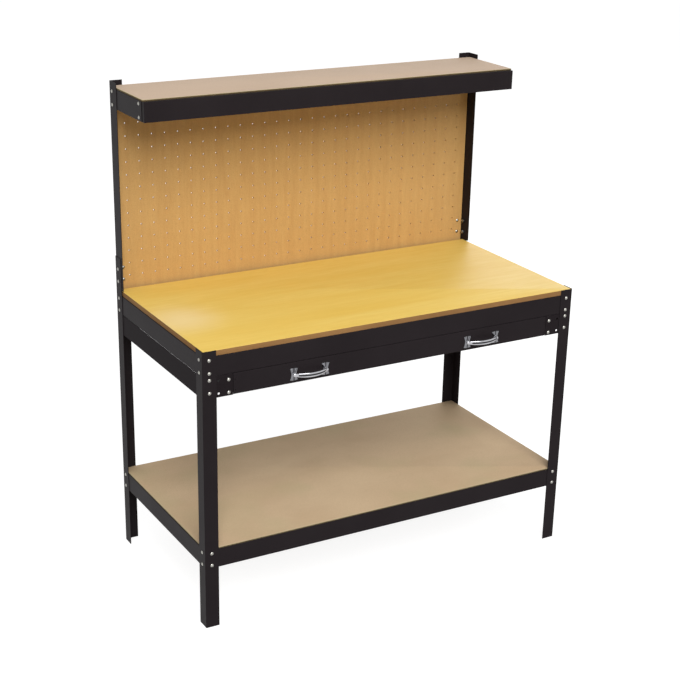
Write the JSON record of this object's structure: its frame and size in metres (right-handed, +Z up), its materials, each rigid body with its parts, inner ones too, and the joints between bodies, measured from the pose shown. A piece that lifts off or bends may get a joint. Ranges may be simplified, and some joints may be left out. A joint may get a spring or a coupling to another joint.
{
  "type": "workbench with pegboard",
  "caption": "Bolted steel workbench with a laminated worktop, a wide drawer with bow handles, a lower shelf, a pegboard back and a top shelf.",
  "frame": {"origin": "on the floor, under the middle of the bench's whole box, handles and bolt ends included", "axes": "+Z up, +X to the right of a person who stands at the drawer, +Y towards the pegboard"},
  "size_m": [1.226, 0.6434, 1.448],
  "materials": {
    "black_powder_coat": "satin black powder coat",
    "worktop_laminate": "yellow wood-grain laminate, semi-gloss, on bare brown fibreboard",
    "lower_shelf_fibreboard": "bare fibreboard, matt",
    "top_shelf_fibreboard": "bare fibreboard, matt",
    "hardboard": "perforated hardboard, matt",
    "zinc_plate": "bright zinc plate",
    "chrome_plate": "bright chrome plate"
  },
  "bodies": {
    "frame": {"drawer_guide_left": "black_powder_coat", "drawer_guide_right": "black_powder_coat", "drawer_housing_bolts": "zinc_plate", "drawer_housing_left": "black_powder_coat", "drawer_housing_nuts": "zinc_plate", "drawer_housing_right": "black_powder_coat", "front_leg_left": "black_powder_coat", "front_leg_right": "black_powder_coat", "lower_beam_front": "black_powder_coat", "lower_beam_left": "black_powder_coat", "lower_beam_rear": "black_powder_coat", "lower_beam_right": "black_powder_coat", "lower_frame_bolts": "zinc_plate", "lower_frame_nuts": "zinc_plate", "lower_shelf_board": "lower_shelf_fibreboard", "lower_shelf_brace": "black_powder_coat", "pegboard": "hardboard", "rear_leg_left": "black_powder_coat", "rear_leg_right": "black_powder_coat", "top_shelf_board": "top_shelf_fibreboard", "top_shelf_bolts": "zinc_plate", "top_shelf_fascia": "black_powder_coat", "top_shelf_nuts": "zinc_plate", "top_shelf_rear_rail": "black_powder_coat", "top_shelf_side_left": "black_powder_coat", "top_shelf_side_right": "black_powder_coat", "upright_left": "black_powder_coat", "upright_right": "black_powder_coat", "upright_splice_bolts": "zinc_plate", "upright_splice_nuts": "zinc_plate", "worktop_beam_front": "black_powder_coat", "worktop_beam_left": "black_powder_coat", "worktop_beam_rear": "black_powder_coat", "worktop_beam_right": "black_powder_coat", "worktop_board": "worktop_laminate", "worktop_brace": "black_powder_coat", "worktop_frame_bolts": "zinc_plate", "worktop_frame_nuts": "zinc_plate", "worktop_screws": "zinc_plate"},
    "drawer": {"drawer_front": "black_powder_coat", "drawer_side_left": "black_powder_coat", "drawer_side_right": "black_powder_coat", "drawer_back": "black_powder_coat", "drawer_bottom": "black_powder_coat", "drawer_rivets": "black_powder_coat", "handle_left": "chrome_plate", "handle_right": "chrome_plate", "handle_screws": "zinc_plate"}
  },
  "joints": [
    {"name": "drawer_slide", "type": "slide", "parent": "frame", "child": "drawer", "axis": [0, -1, 0], "range_m": [0, 0.3138]}
  ]
}
